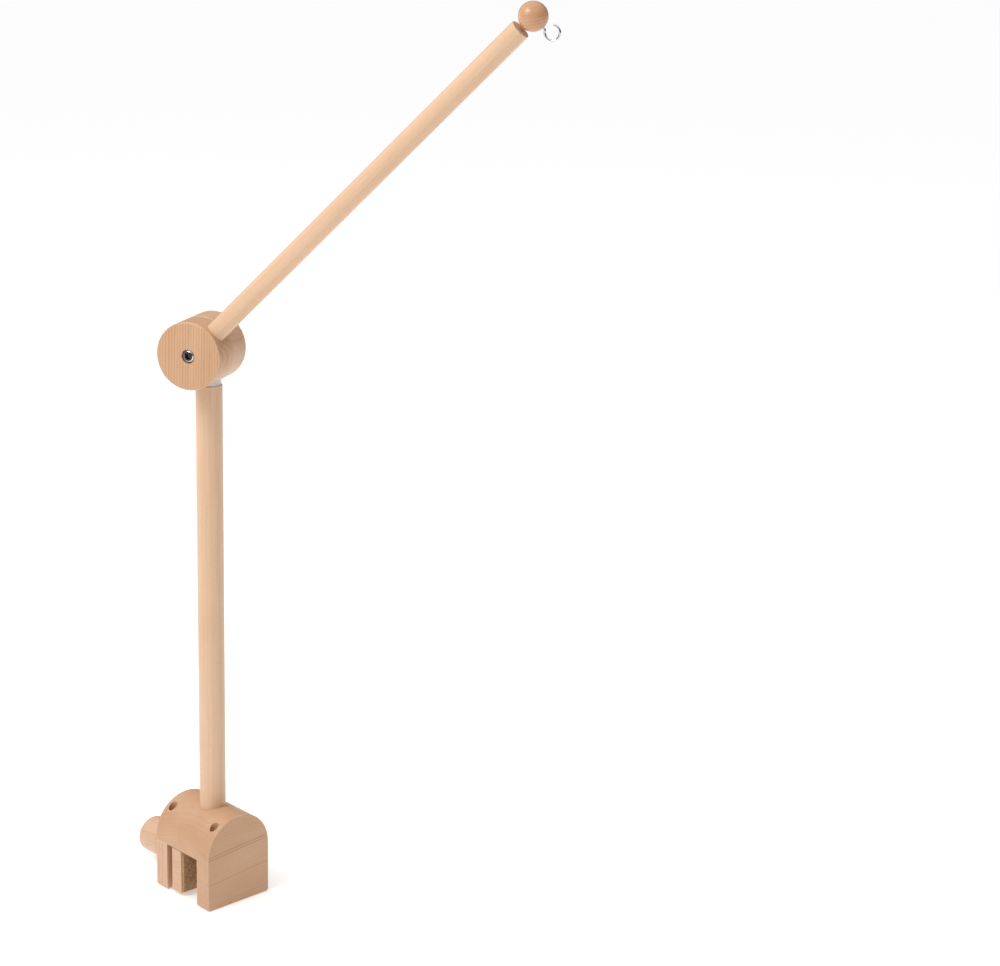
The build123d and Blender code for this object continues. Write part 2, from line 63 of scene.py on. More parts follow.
nodes = frame["nodes"]
joints = {joint["name"]: joint for joint in frame["joints"]}

MM = 0.001
TAU = 2 * math.pi


# ------------------------------------------------------------------ directions taken from the frame
def unit(values):
    """A direction scaled to length one."""
    values = np.asarray(values, float)
    return values / np.linalg.norm(values)


def box_of(node):
    """Lowest and highest corners of a CAD node as arrays."""
    low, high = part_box(node)
    return np.array(low), np.array(high)


def middle_of(node):
    """Centre of a CAD node's box."""
    low, high = box_of(node)
    return (low + high) / 2


UP = np.array([0.0, 0.0, 1.0])
ACROSS_RAIL = np.array([1.0, 0.0, 0.0])
knuckle_axis = unit(joints["arm_tilt"]["axis"])
knuckle_centre = np.array(joints["arm_tilt"]["pos_m"], float)
arm_level = unit(np.cross(UP, knuckle_axis))
ARM_TILT = math.radians(45.4)
arm_run = math.cos(ARM_TILT) * arm_level + math.sin(ARM_TILT) * UP
arm_top = math.cos(ARM_TILT) * UP - math.sin(ARM_TILT) * arm_level

POST_R = 12.5 * MM
ARM_R = 9.2 * MM
KNUCKLE_R = 31.5 * MM
WIRE_R = 1.1 * MM


# ------------------------------------------------------------------ surfaces from arrays
def mesh_piece(name, points, faces):
    """A smooth-shaded object from an array of points and a list of faces."""
    mesh = bpy.data.meshes.new(name)
    mesh.from_pydata(points.tolist(), [], faces)
    mesh.shade_smooth()
    mesh.update()
    piece = bpy.data.objects.new(name, mesh)
    bpy.context.scene.collection.objects.link(piece)
    return piece


def ring_faces(rings, segments):
    """Quads between neighbouring rings of points, each ring closed on itself."""
    ring, side = np.meshgrid(np.arange(rings - 1), np.arange(segments), indexing="ij")
    beside = (side + 1) % segments
    low, high = ring * segments, (ring + 1) * segments
    quads = np.stack([low + side, low + beside, high + beside, high + side], axis=-1)
    return quads.reshape(-1, 4).tolist()


def skin(name, grid):
    """Closed skin over a grid of rings (ring, segment, xyz), with a pole point at each end's centre."""
    rings, segments = grid.shape[:2]
    count = rings * segments
    poles = np.stack([grid[0].mean(axis=0), grid[-1].mean(axis=0)])
    points = np.concatenate([grid.reshape(-1, 3), poles])
    side = np.arange(segments)
    beside = (side + 1) % segments
    start = np.stack([np.full(segments, count), beside, side], axis=-1)
    last = (rings - 1) * segments
    end = np.stack([np.full(segments, count + 1), last + side, last + beside], axis=-1)
    faces = ring_faces(rings, segments) + start.tolist() + end.tolist()
    return mesh_piece(name, points, faces)


def side_directions(axis):
    """Two directions square to an axis and to each other, so that first x second = axis."""
    axis = unit(axis)
    helper = UP if abs(axis[2]) < 0.9 else ACROSS_RAIL
    first = unit(np.cross(helper, axis))
    return first, np.cross(axis, first)


def turned(name, foot, axis, profile, segments=128, swell=None):
    """Turned piece: point = foot + along * axis + radius * (cos(a) * first + sin(a) * second), for
    each (along, radius) of the profile and each angle a round the axis.  swell(along, a) adds to
    the radius."""
    axis = unit(axis)
    first, second = side_directions(axis)
    along = profile[:, 0][:, None]
    angle = np.linspace(0, TAU, segments, endpoint=False)[None, :]
    radius = np.broadcast_to(profile[:, 1][:, None], (len(profile), segments))
    if swell is not None:
        radius = radius + swell(along, angle)
    outward = np.cos(angle)[..., None] * first + np.sin(angle)[..., None] * second
    grid = np.asarray(foot) + along[..., None] * axis + radius[..., None] * outward
    return skin(name, grid)


def rounded(corners, steps=8):
    """Profile through (along, radius, round) corners: each corner with a round is replaced by a
    curve (1-t)^2 * before + 2t(1-t) * corner + t^2 * after, before and after lying one round away."""
    corners = [(np.array(c[:2], float), c[2]) for c in corners]
    points = []
    for i, (corner, size) in enumerate(corners):
        if size == 0:
            points.append(corner[None, :])
            continue
        before = corner + size * unit(corners[i - 1][0] - corner)
        after = corner + size * unit(corners[i + 1][0] - corner)
        t = np.linspace(0, 1, steps)[:, None]
        points.append((1 - t) ** 2 * before + 2 * t * (1 - t) * corner + t ** 2 * after)
    return np.concatenate(points)


def spaced(profile, longest):
    """The same profile with extra points, so that no step is longer than the given length."""
    step = np.linalg.norm(np.diff(profile, axis=0), axis=1)
    extra = np.maximum(1, np.ceil(step / longest).astype(int))
    parts = [np.linspace(a, b, n, endpoint=False) for a, b, n in zip(profile[:-1], profile[1:], extra)]
    return np.concatenate(parts + [profile[-1:]])


def wire(name, path, across, radius, segments=32):
    """Round wire along a flat path: point = path + radius * (cos(a) * across + sin(a) * beside),
    beside being square to the path's run and to across, the normal of its plane."""
    run = np.gradient(path, axis=0)
    run /= np.linalg.norm(run, axis=1)[:, None]
    beside = np.cross(run, across)
    angle = np.linspace(0, TAU, segments, endpoint=False)
    ring = np.cos(angle)[None, :, None] * across + np.sin(angle)[None, :, None] * beside[:, None, :]
    return skin(name, path[:, None, :] + radius[:, None, None] * ring)


def outward(piece):
    """Turn the piece's faces outward where its rings ran the other way."""
    mesh = piece.data
    mesh.calc_loop_triangles()
    corner = np.empty(len(mesh.loop_triangles) * 3, np.int32)
    mesh.loop_triangles.foreach_get("vertices", corner)
    place = np.empty(len(mesh.vertices) * 3)
    mesh.vertices.foreach_get("co", place)
    a, b, c = np.moveaxis(place.reshape(-1, 3)[corner.reshape(-1, 3)], 1, 0)
    if np.einsum("ij,ij->i", a, np.cross(b, c)).sum() < 0:
        mesh.flip_normals()
    return piece


# ------------------------------------------------------------------ node helpers
def add(tree, kind, ins=None, **settings):
    """A shader node with its settings made and its inputs set or linked."""
    made = tree.nodes.new(kind)
    for key, value in settings.items():
        setattr(made, key, value)
    for key, value in (ins or {}).items():
        if isinstance(value, bpy.types.NodeSocket):
            tree.links.new(value, made.inputs[key])
        else:
            made.inputs[key].default_value = value
    return made


def calc(tree, operation, *values, clamp=False):
    """Result of one Math node."""
    ins = {i: value for i, value in enumerate(values)}
    return add(tree, "ShaderNodeMath", ins, operation=operation, use_clamp=clamp).outputs[0]


def ramp(tree, value, low, high, to_low=0.0, to_high=1.0, smooth=True):
    """A value spread between two levels, with soft shoulders."""
    ins = {0: value, 1: low, 2: high, 3: to_low, 4: to_high}
    kind = "SMOOTHSTEP" if smooth else "LINEAR"
    return add(tree, "ShaderNodeMapRange", ins, interpolation_type=kind).outputs[0]


def mix(tree, share, first, second, blend="MIX"):
    """Two colours mixed by a share."""
    ins = {0: share, 6: first, 7: second}
    return add(tree, "ShaderNodeMix", ins, data_type="RGBA", blend_type=blend).outputs[2]


def stretched(tree, vector, scale):
    """A vector with each of its parts multiplied."""
    ins = {0: vector, 1: scale}
    return add(tree, "ShaderNodeVectorMath", ins, operation="MULTIPLY").outputs[0]


def noise(tree, vector, scale, detail=2.0, roughness=0.5):
    """One noise pattern's value."""
    ins = {"Vector": vector, "Scale": scale, "Detail": detail, "Roughness": roughness}
    return add(tree, "ShaderNodeTexNoise", ins).outputs[0]


def new_group(name, inputs, outputs):
    """An empty node group with its sockets; inputs are (kind, name, value), outputs (kind, name)."""
    tree = bpy.data.node_groups.new(name, "ShaderNodeTree")
    for kind, label, value in inputs:
        socket = tree.interface.new_socket(label, in_out="INPUT", socket_type=kind)
        if value is not None:
            socket.default_value = value
    for kind, label in outputs:
        tree.interface.new_socket(label, in_out="OUTPUT", socket_type=kind)
    return tree, tree.nodes.new("NodeGroupInput").outputs, tree.nodes.new("NodeGroupOutput").inputs


FLOAT, COLOUR, VECTOR = "NodeSocketFloat", "NodeSocketColor", "NodeSocketVector"


# ------------------------------------------------------------------ shared effects
FINE_WAVER = 0.0007
BOLD_HALF_GAP = 0.0013
BOLD_WIDTH, BOLD_STRENGTH = 0.0008, 0.60
FAINT_WIDTH, FAINT_STRENGTH = 0.0010, 0.32
MARKS_START, MARKS_FULL = 0.012, 0.029


def make_beech_grain():
    """Beech: growth rings round a pith line along Z, long soft streaks, short dark flecks, clouds.  A
    bold double ring and a faint one lie at set distances from the pith, and fade in along X."""
    tree, given, out = new_group(
        "beech_grain",
        [(VECTOR, "Vector", None), (COLOUR, "Pale", None), (COLOUR, "Deep", None),
         (COLOUR, "Ring colour", None), (FLOAT, "Ring spacing", 0.004), (FLOAT, "Ring strength", 0.4),
         (FLOAT, "Fleck strength", 0.3), (FLOAT, "Streak strength", 0.5), (FLOAT, "Waver", 0.004),
         (FLOAT, "Bold ring", 0.0), (FLOAT, "Faint ring", 0.0)],
        [(COLOUR, "Color"), (FLOAT, "Roughness"), (FLOAT, "Height")])
    place = given["Vector"]
    long_wave = noise(tree, stretched(tree, place, (1, 1, 0.25)), 26.0, 1.5)
    fine_wave = noise(tree, stretched(tree, place, (1, 1, 0.12)), 160.0, 2.0)
    flat = stretched(tree, place, (1, 1, 0))
    from_pith = add(tree, "ShaderNodeVectorMath", {0: flat}, operation="LENGTH").outputs["Value"]
    wander = calc(tree, "MULTIPLY_ADD", calc(tree, "SUBTRACT", long_wave, 0.5), given["Waver"], from_pith)
    wander = calc(tree, "MULTIPLY_ADD", calc(tree, "SUBTRACT", fine_wave, 0.5), FINE_WAVER, wander)
    turns = calc(tree, "DIVIDE", wander, given["Ring spacing"])
    part = calc(tree, "FRACT", turns)
    rise = ramp(tree, part, 0.55, 0.96)
    drop = ramp(tree, part, 0.97, 1.0, 1.0, 0.0)
    which = calc(tree, "FLOOR", turns)
    per_ring = add(tree, "ShaderNodeTexWhiteNoise", {"W": which}, noise_dimensions="1D").outputs["Value"]
    uneven = ramp(tree, per_ring, 0.0, 1.0, 0.25, 1.0, smooth=False)
    ring = calc(tree, "MULTIPLY", calc(tree, "MULTIPLY", rise, drop), uneven)
    ring = calc(tree, "MULTIPLY", ring, given["Ring strength"])
    from_bold = calc(tree, "ABSOLUTE", calc(tree, "SUBTRACT", wander, given["Bold ring"]))
    off_line = calc(tree, "ABSOLUTE", calc(tree, "SUBTRACT", from_bold, BOLD_HALF_GAP))
    bold = ramp(tree, off_line, 0.0, BOLD_WIDTH, BOLD_STRENGTH, 0.0)
    from_faint = calc(tree, "ABSOLUTE", calc(tree, "SUBTRACT", wander, given["Faint ring"]))
    faint = ramp(tree, from_faint, 0.0, FAINT_WIDTH, FAINT_STRENGTH, 0.0)
    aside = add(tree, "ShaderNodeSeparateXYZ", {0: place}).outputs[0]
    shown = ramp(tree, aside, MARKS_START, MARKS_FULL)
    marks = calc(tree, "MULTIPLY", calc(tree, "MAXIMUM", bold, faint), shown)
    ring = calc(tree, "MAXIMUM", ring, marks)
    streak = noise(tree, stretched(tree, place, (1, 1, 0.018)), 1100.0, 3.0, 0.6)
    cloud = noise(tree, stretched(tree, place, (1, 1, 0.3)), 38.0, 2.0)
    dash = noise(tree, stretched(tree, place, (1, 1, 0.16)), 1500.0, 1.0)
    fleck = ramp(tree, dash, 0.60, 0.70)
    share = calc(tree, "MULTIPLY", ramp(tree, streak, 0.32, 0.68), given["Streak strength"])
    share = calc(tree, "MULTIPLY_ADD", ramp(tree, cloud, 0.3, 0.7), 0.35, share, clamp=True)
    colour = mix(tree, share, given["Pale"], given["Deep"])
    colour = mix(tree, ring, colour, given["Ring colour"])
    colour = mix(tree, calc(tree, "MULTIPLY", fleck, given["Fleck strength"]), colour, given["Ring colour"])
    tree.links.new(colour, out["Color"])
    rough = ramp(tree, cloud, 0.25, 0.75, 0.40, 0.52)
    rough = calc(tree, "MULTIPLY_ADD", streak, 0.08, rough)
    tree.links.new(calc(tree, "MULTIPLY_ADD", fleck, 0.10, rough), out["Roughness"])
    height = calc(tree, "MULTIPLY_ADD", fleck, -0.8, streak)
    tree.links.new(calc(tree, "MULTIPLY_ADD", ring, -0.5, height), out["Height"])
    return tree


def make_rim_wear_and_highlight():
    """Mask of a round piece's rims, which beech() makes paler and glossier, partly rubbed by handling and
    partly a painted highlight: one where both the wall and an end are within a width.  Beyond Straight past
    along X the wall runs on straight."""
    tree, given, out = new_group(
        "rim_wear_and_highlight",
        [(VECTOR, "Vector", None), (FLOAT, "Radius", 0.01), (FLOAT, "Half length", 0.01),
         (FLOAT, "Width", 0.002), (FLOAT, "Straight past", 1.0)],
        [(FLOAT, "Mask")])
    ahead, aside, height = add(tree, "ShaderNodeSeparateXYZ", {0: given["Vector"]}).outputs[:3]
    ahead = calc(tree, "MINIMUM", ahead, given["Straight past"])
    reach = add(tree, "ShaderNodeCombineXYZ", {0: ahead, 1: aside}).outputs[0]
    reach = add(tree, "ShaderNodeVectorMath", {0: reach}, operation="LENGTH").outputs["Value"]
    from_wall = calc(tree, "SUBTRACT", given["Radius"], reach)
    from_end = calc(tree, "SUBTRACT", given["Half length"], calc(tree, "ABSOLUTE", height))
    farther = calc(tree, "MAXIMUM", from_wall, from_end)
    ragged = noise(tree, given["Vector"], 420.0, 3.0)
    farther = calc(tree, "DIVIDE", farther, calc(tree, "MULTIPLY", given["Width"], ragged))
    tree.links.new(ramp(tree, farther, 0.4, 2.0, 1.0, 0.0), out["Mask"])
    return tree


def make_edge_wear_and_highlight():
    """Mask of a block's edges, which beech() makes paler and glossier, partly rubbed by handling and partly
    a painted highlight: one where two of its faces are both within a width.
    """
    tree, given, out = new_group(
        "edge_wear_and_highlight",
        [(VECTOR, "Vector", None), (VECTOR, "Half size", None), (FLOAT, "Width", 0.002)],
        [(FLOAT, "Mask")])
    size = add(tree, "ShaderNodeVectorMath", {0: given["Vector"]}, operation="ABSOLUTE").outputs[0]
    room = add(tree, "ShaderNodeVectorMath", {0: given["Half size"], 1: size}, operation="SUBTRACT")
    a, b, c = add(tree, "ShaderNodeSeparateXYZ", {0: room.outputs[0]}).outputs[:3]
    nearer = calc(tree, "MINIMUM", a, b)
    second = calc(tree, "MAXIMUM", nearer, calc(tree, "MINIMUM", calc(tree, "MAXIMUM", a, b), c))
    ragged = noise(tree, given["Vector"], 420.0, 3.0)
    second = calc(tree, "DIVIDE", second, calc(tree, "MULTIPLY", given["Width"], ragged))
    tree.links.new(ramp(tree, second, 0.4, 2.0, 1.0, 0.0), out["Mask"])
    return tree


def make_smudges():
    """Faint handling marks and fine scuffs, for metal and plastic."""
    tree, given, out = new_group(
        "smudges",
        [(VECTOR, "Vector", None), (FLOAT, "Low", 0.1), (FLOAT, "High", 0.3), (FLOAT, "Scale", 300.0)],
        [(FLOAT, "Roughness"), (FLOAT, "Height"), (FLOAT, "Mask")])
    soft = noise(tree, given["Vector"], given["Scale"], 3.0)
    fine = noise(tree, stretched(tree, given["Vector"], (1, 6, 6)), given["Scale"], 4.0, 0.7)
    both = calc(tree, "MULTIPLY_ADD", fine, 0.5, calc(tree, "MULTIPLY", soft, 0.5))
    share = ramp(tree, both, 0.35, 0.65)
    span = calc(tree, "SUBTRACT", given["High"], given["Low"])
    tree.links.new(calc(tree, "MULTIPLY_ADD", share, span, given["Low"]), out["Roughness"])
    tree.links.new(fine, out["Height"])
    tree.links.new(share, out["Mask"])
    return tree


beech_grain = make_beech_grain()
rim_wear_and_highlight = make_rim_wear_and_highlight()
edge_wear_and_highlight = make_edge_wear_and_highlight()
smudges = make_smudges()


# ------------------------------------------------------------------ materials
def new_material(name):
    """A material with its Principled shader; gives the material, its tree and the shader."""
    material = bpy.data.materials.new(name)
    material.use_nodes = True
    tree = material.node_tree
    return material, tree, tree.nodes["Principled BSDF"]


def placed(tree, turn=(0, 0, 0), shift=(0, 0, 0)):
    """Object coordinates, turned and then shifted."""
    here = add(tree, "ShaderNodeTexCoord").outputs["Object"]
    ins = {"Vector": here, "Rotation": turn, "Location": shift}
    return add(tree, "ShaderNodeMapping", ins, vector_type="POINT").outputs[0]


def turn_to_z(direction):
    """Euler angles that bring a direction onto Z, so that a pattern along Z lies along it."""
    turn = Vector(direction).rotation_difference(Vector((0, 0, 1)))
    return tuple(turn.to_euler())


def centred_on(direction, centre):
    """Turn and shift that put a piece's centre at the pattern's origin with its axis along Z."""
    turn = Vector(direction).rotation_difference(Vector((0, 0, 1)))
    return tuple(turn.to_euler()), tuple(-(turn @ Vector(centre)))


def bumped(tree, shader, height, strength, distance):
    """Small relief on the shader, from a height."""
    ins = {"Height": height, "Strength": strength, "Distance": distance}
    tree.links.new(add(tree, "ShaderNodeBump", ins).outputs[0], shader.inputs["Normal"])


def handled(tree, low, high, scale):
    """Handling marks over the whole piece, their roughness between two levels."""
    ins = {"Vector": placed(tree), "Low": low, "High": high, "Scale": scale}
    return add(tree, "ShaderNodeGroup", ins, node_tree=smudges)


PALE = (0.800, 0.545, 0.350)
DEEP = (0.690, 0.440, 0.260)
RING = (0.400, 0.205, 0.098)
# paler colour for rims and edges: partly rubbed by handling, partly a painted highlight
WORN_HIGHLIGHT = (0.860, 0.640, 0.450)
BOARD_TONE = (0.77, 0.67, 0.60)
JAW_TONE = (0.86, 0.79, 0.78)
FRONT_DISC_TONE = (0.83, 0.72, 0.64)
REAR_DISC_TONE = (0.86, 0.80, 0.76)
DOWEL_TONE = (0.96, 0.93, 0.94)
KNOB_TONE = (0.90, 0.87, 0.93)
BALL_TONE = (0.78, 0.61, 0.50)
# darker tone for the short dowel between the arm's end and the ball: painted shade in the gap
DOWEL_PAINTED_SHADE = (0.50, 0.38, 0.30)
WEAR_HIGHLIGHT_SHARE, WEAR_POLISH = 0.55, 0.25


def toned(colour, tone):
    """A colour multiplied by a tone."""
    return tuple(np.multiply(colour, tone)) + (1,)


def beech(name, grain, pith, tone, spacing=0.005, rings=0.25, flecks=0.2, streaks=0.35, waver=0.004,
          marked=(0, 0), wear_and_highlight=None):
    """Satin-oiled beech: grain along a direction, the pith line moved off by pith, a bold double ring and a
    faint one at the marked distances from it, and optional paler, glossier rims and edges from a mask given
    as (group, inputs, turn, shift): partly rubbed by handling, partly a painted highlight."""
    material, tree, shader = new_material(name)
    place = placed(tree, turn_to_z(grain), pith)
    ins = {"Vector": place, "Pale": toned(PALE, tone), "Deep": toned(DEEP, tone),
           "Ring colour": toned(RING, tone), "Ring spacing": spacing, "Ring strength": rings,
           "Fleck strength": flecks, "Streak strength": streaks, "Waver": waver,
           "Bold ring": marked[0], "Faint ring": marked[1]}
    wood = add(tree, "ShaderNodeGroup", ins, node_tree=beech_grain)
    colour, rough = wood.outputs["Color"], wood.outputs["Roughness"]
    if wear_and_highlight:
        group, values, turn, shift = wear_and_highlight
        ins = {"Vector": placed(tree, turn, shift), **values}
        mask = add(tree, "ShaderNodeGroup", ins, node_tree=group)
        # paler rims and edges: partly rubbed by handling, partly a painted highlight; the lower roughness is
        # the rubbing's polish
        wear_highlight_share = calc(tree, "MULTIPLY", mask.outputs["Mask"], WEAR_HIGHLIGHT_SHARE)
        colour = mix(tree, wear_highlight_share, colour, toned(WORN_HIGHLIGHT, tone))
        rough = calc(tree, "MULTIPLY_ADD", wear_highlight_share, -WEAR_POLISH, rough)
    tree.links.new(colour, shader.inputs["Base Color"])
    tree.links.new(rough, shader.inputs["Roughness"])
    bumped(tree, shader, wood.outputs["Height"], 0.35, 0.00008)
    shader.inputs["Coat Weight"].default_value = 0.20
    shader.inputs["Coat Roughness"].default_value = 0.28
    return material


def metal(name, colour, dark, low, high, scale, bump_size, socket=None):
    """Plated steel: two close tones and a roughness that both follow faint handling marks.  With socket,
    given as (turn, shift, radius), it is painted nearly black out to that radius round the axis: painted
    shade in the bolt's hex socket and a painted dark reflection on the crown round it."""
    material, tree, shader = new_material(name)
    marks = handled(tree, low, high, scale)
    plating = mix(tree, marks.outputs["Mask"], colour, dark)
    if socket:
        # painted shade and painted dark reflection: the hex socket and the crown round it are coloured
        # nearly black
        turn, shift, radius = socket
        flat = stretched(tree, placed(tree, turn, shift), (1, 1, 0))
        reach = add(tree, "ShaderNodeVectorMath", {0: flat}, operation="LENGTH").outputs["Value"]
        inside = ramp(tree, reach, radius, radius * 1.15, 1.0, 0.0)
        plating = mix(tree, inside, plating, (0.045, 0.046, 0.05, 1))
    tree.links.new(plating, shader.inputs["Base Color"])
    tree.links.new(marks.outputs["Roughness"], shader.inputs["Roughness"])
    bumped(tree, shader, marks.outputs["Height"], 0.15, bump_size)
    shader.inputs["Metallic"].default_value = 1.0
    return material


def milky_plastic():
    """Translucent moulded plastic with a faint cloudiness."""
    material, tree, shader = new_material("milky_plastic")
    marks = handled(tree, 0.22, 0.38, 180.0)
    colour = mix(tree, marks.outputs["Mask"], (0.93, 0.90, 0.94, 1), (0.86, 0.83, 0.89, 1))
    tree.links.new(colour, shader.inputs["Base Color"])
    tree.links.new(marks.outputs["Roughness"], shader.inputs["Roughness"])
    shader.inputs["Transmission Weight"].default_value = 0.30
    shader.inputs["IOR"].default_value = 1.45
    return material


GRANULES = 620.0


def pressed_cork():
    """Pressed cork: tightly packed granules of several browns, dark in the joints between them."""
    material, tree, shader = new_material("pressed_cork")
    place = placed(tree)
    grains = add(tree, "ShaderNodeTexVoronoi", {"Vector": place, "Scale": GRANULES, "Randomness": 1.0})
    joints_between = add(tree, "ShaderNodeTexVoronoi", {"Vector": place, "Scale": GRANULES},
                         feature="DISTANCE_TO_EDGE")
    each = add(tree, "ShaderNodeSeparateColor", {0: grains.outputs["Color"]}).outputs[0]
    colour = mix(tree, each, (0.42, 0.235, 0.11, 1), (0.62, 0.40, 0.22, 1))
    gap = ramp(tree, joints_between.outputs["Distance"], 0.0, 0.12, 1.0, 0.0)
    colour = mix(tree, calc(tree, "MULTIPLY", gap, 0.6), colour, (0.14, 0.07, 0.035, 1))
    tree.links.new(colour, shader.inputs["Base Color"])
    tree.links.new(ramp(tree, each, 0.0, 1.0, 0.78, 0.92), shader.inputs["Roughness"])
    height = calc(tree, "MULTIPLY_ADD", gap, -1.0, each)
    bumped(tree, shader, height, 0.6, 0.00025)
    return material


def dark_fibre():
    """Compressed friction fibre, nearly black with pale specks."""
    material, tree, shader = new_material("dark_fibre")
    place = placed(tree)
    speck = ramp(tree, noise(tree, place, 1600.0, 2.0), 0.60, 0.72)
    colour = mix(tree, speck, (0.045, 0.040, 0.036, 1), (0.20, 0.17, 0.14, 1))
    tree.links.new(colour, shader.inputs["Base Color"])
    tree.links.new(ramp(tree, noise(tree, place, 500.0), 0.3, 0.7, 0.65, 0.85), shader.inputs["Roughness"])
    bumped(tree, shader, speck, 0.4, 0.0001)
    return material


def dress(piece, material):
    """Put one material on a piece or CAD node."""
    if piece.material_slots:
        for slot in piece.material_slots:
            slot.material = material
    else:
        piece.data.materials.append(material)


def block_wear_and_highlight(node, width=2.2 * MM):
    """Mask for a block-shaped node's paler edges: partly rubbed by handling, partly a painted highlight."""
    low, high = box_of(node)
    return (edge_wear_and_highlight, {"Half size": tuple((high - low) / 2), "Width": width}, (0, 0, 0),
            tuple(-(low + high) / 2))


def round_wear_and_highlight(axis, centre, radius, half_length, width=2.2 * MM, straight=1.0):
    """Mask for a round piece's paler rims: partly rubbed by handling, partly a painted highlight."""
    turn, shift = centred_on(axis, centre)
    values = {"Radius": radius, "Half length": half_length, "Width": width, "Straight past": straight}
    return (rim_wear_and_highlight, values, turn, shift)


# ------------------------------------------------------------------ the clamp
saddle_low, saddle_high = box_of("saddle_block")
arch_r = (saddle_high[1] - saddle_low[1]) / 2
arch_centre = middle_of("saddle_block")
arch_centre[2] = saddle_high[2] - arch_r
saddle_half = (saddle_high[0] - saddle_low[0]) / 2
along_rail = (0.0, 1.0, 0.081)

beech_board = beech("beech_board", along_rail, (-0.010, -0.100, 0), BOARD_TONE, spacing=0.0036,
                    rings=0.13, waver=0.0035, marked=(0.1121, 0.0864),
                    wear_and_highlight=round_wear_and_highlight(ACROSS_RAIL, arch_centre, arch_r, saddle_half, straight=0.0))
dress(nodes["saddle_block"], beech_board)
dress(nodes["front_jaw"], beech_board)
dress(nodes["rear_jaw"],
      beech("beech_rear_jaw", (0.05, 0.06, 1), (0.05, 0.03, 0), JAW_TONE, spacing=0.005, rings=0.3,
            wear_and_highlight=block_wear_and_highlight("rear_jaw")))
dress(nodes["pressure_shoe"],
      beech("beech_shoe", along_rail, (0.03, 0.07, 0), JAW_TONE, spacing=0.006, rings=0.15,
            wear_and_highlight=block_wear_and_highlight("pressure_shoe")))

cork = pressed_cork()
dress(nodes["front_jaw_pad"], cork)
dress(nodes["pressure_pad"], cork)

# ------------------------------------------------------------------ post, arm and ball
post_low, post_high = box_of("post")
EASED = 0.8 * MM
SWING = 0.015 * MM
LONG_WAVE, SHORT_WAVE = 41 * MM, 17 * MM
BALL_INSET = 0.005 * MM
BALL_FLAT = 3.2 * MM


def dowel(name, foot, axis, length, radius):
    """Round bar with eased rims; its radius swings by a few hundredths of a millimetre along the
    bar and round it, as a sanded dowel's does."""
    profile = rounded([(0, 0, 0), (0, radius, EASED), (length, radius, EASED), (length, 0, 0)])
    profile = spaced(profile[1:-1], 6 * MM)
    start = np.array([[0, 0.2 * radius]])
    profile = np.concatenate([start, profile, [[length, 0.2 * radius]]])

    def sanded(along, angle):
        slow = np.sin(along / LONG_WAVE + 2 * np.sin(angle)) + np.sin(along / SHORT_WAVE - angle)
        return SWING * slow * np.sin(np.pi * along / length)

    return outward(turned(name, foot, axis, profile, swell=sanded))


def takes_place(piece, body, slot, material, *replaced):
    """Finish a new piece: material, body, and the CAD nodes it stands for, which are hidden.  slot, the
    record's slot, is not used.
    """
    dress(piece, material)
    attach(piece, body)
    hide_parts(*replaced)


post_length = post_high[2] - post_low[2]
post_centre = (post_low + post_high) / 2
beech_post = beech("beech_post", UP, (0.028, 0.016, 0), DOWEL_TONE, spacing=0.0040, rings=0.10,
                   flecks=0.12, streaks=0.25,
                   wear_and_highlight=round_wear_and_highlight(UP, post_centre, POST_R, post_length / 2))
takes_place(dowel("post_bar", (0, 0, post_low[2]), UP, post_length, POST_R),
            "rail_clamp", "beech_round", beech_post, "post")

arm_low, arm_high = box_of("arm_rod")
arm_centre = (arm_low + arm_high) / 2
arm_length = (arm_high[2] - arm_low[2] - 2 * ARM_R * math.cos(ARM_TILT)) / math.sin(ARM_TILT)
arm_foot = arm_centre - arm_run * arm_length / 2
beech_arm = beech("beech_arm", arm_run, (0.020, 0.024, 0.4), DOWEL_TONE, spacing=0.0040, rings=0.08,
                  flecks=0.10, streaks=0.22,
                  wear_and_highlight=round_wear_and_highlight(arm_run, arm_centre, ARM_R, arm_length / 2))
takes_place(dowel("arm_bar", arm_foot, arm_run, arm_length, ARM_R),
            "tilt_arm", "beech_round", beech_arm, "arm_rod")

ball_low, ball_high = box_of("ball_finial")
ball_centre = (ball_low + ball_high) / 2
ball_r = (ball_high[2] - ball_low[2]) / 2 - BALL_INSET


def ball_profile(radius, flat):
    """Half circle along = -r cos(a), radius = r sin(a), cut square by a small flat at its foot."""
    start = math.asin(flat / radius)
    angle = np.linspace(start, math.pi - 0.02, 72)
    return np.stack([-radius * np.cos(angle), radius * np.sin(angle)], axis=-1)


beech_ball = beech("beech_ball", arm_level + 0.2 * UP, (0.015, 0.012, 0), BALL_TONE, spacing=0.0026,
                   rings=0.35, waver=0.003)
ball_shader = beech_ball.node_tree.nodes["Principled BSDF"]
ball_shader.inputs["Coat Weight"].default_value = 0.5
ball_shader.inputs["Coat Roughness"].default_value = 0.18
ball = outward(turned("ball", ball_centre, arm_run, ball_profile(ball_r, BALL_FLAT)))
takes_place(ball, "tilt_arm", "beech_turned", beech_ball, "ball_finial")
# the dowel in the gap between arm and ball is painted darker: painted shade
dress(nodes["ball_dowel"], beech("beech_dowel_painted_shade", arm_run, (0.012, 0.010, 0.4), DOWEL_PAINTED_SHADE, spacing=0.0030))

# ------------------------------------------------------------------ the knuckle
DISC_THICKNESS = 27.8 * MM
PITH_ASIDE = 0.09
# radius out to which the bolt's crown is painted nearly black: painted shade in the socket, painted dark
# reflection round it
BOLT_PAINTED_SHADE_R = 3.9 * MM


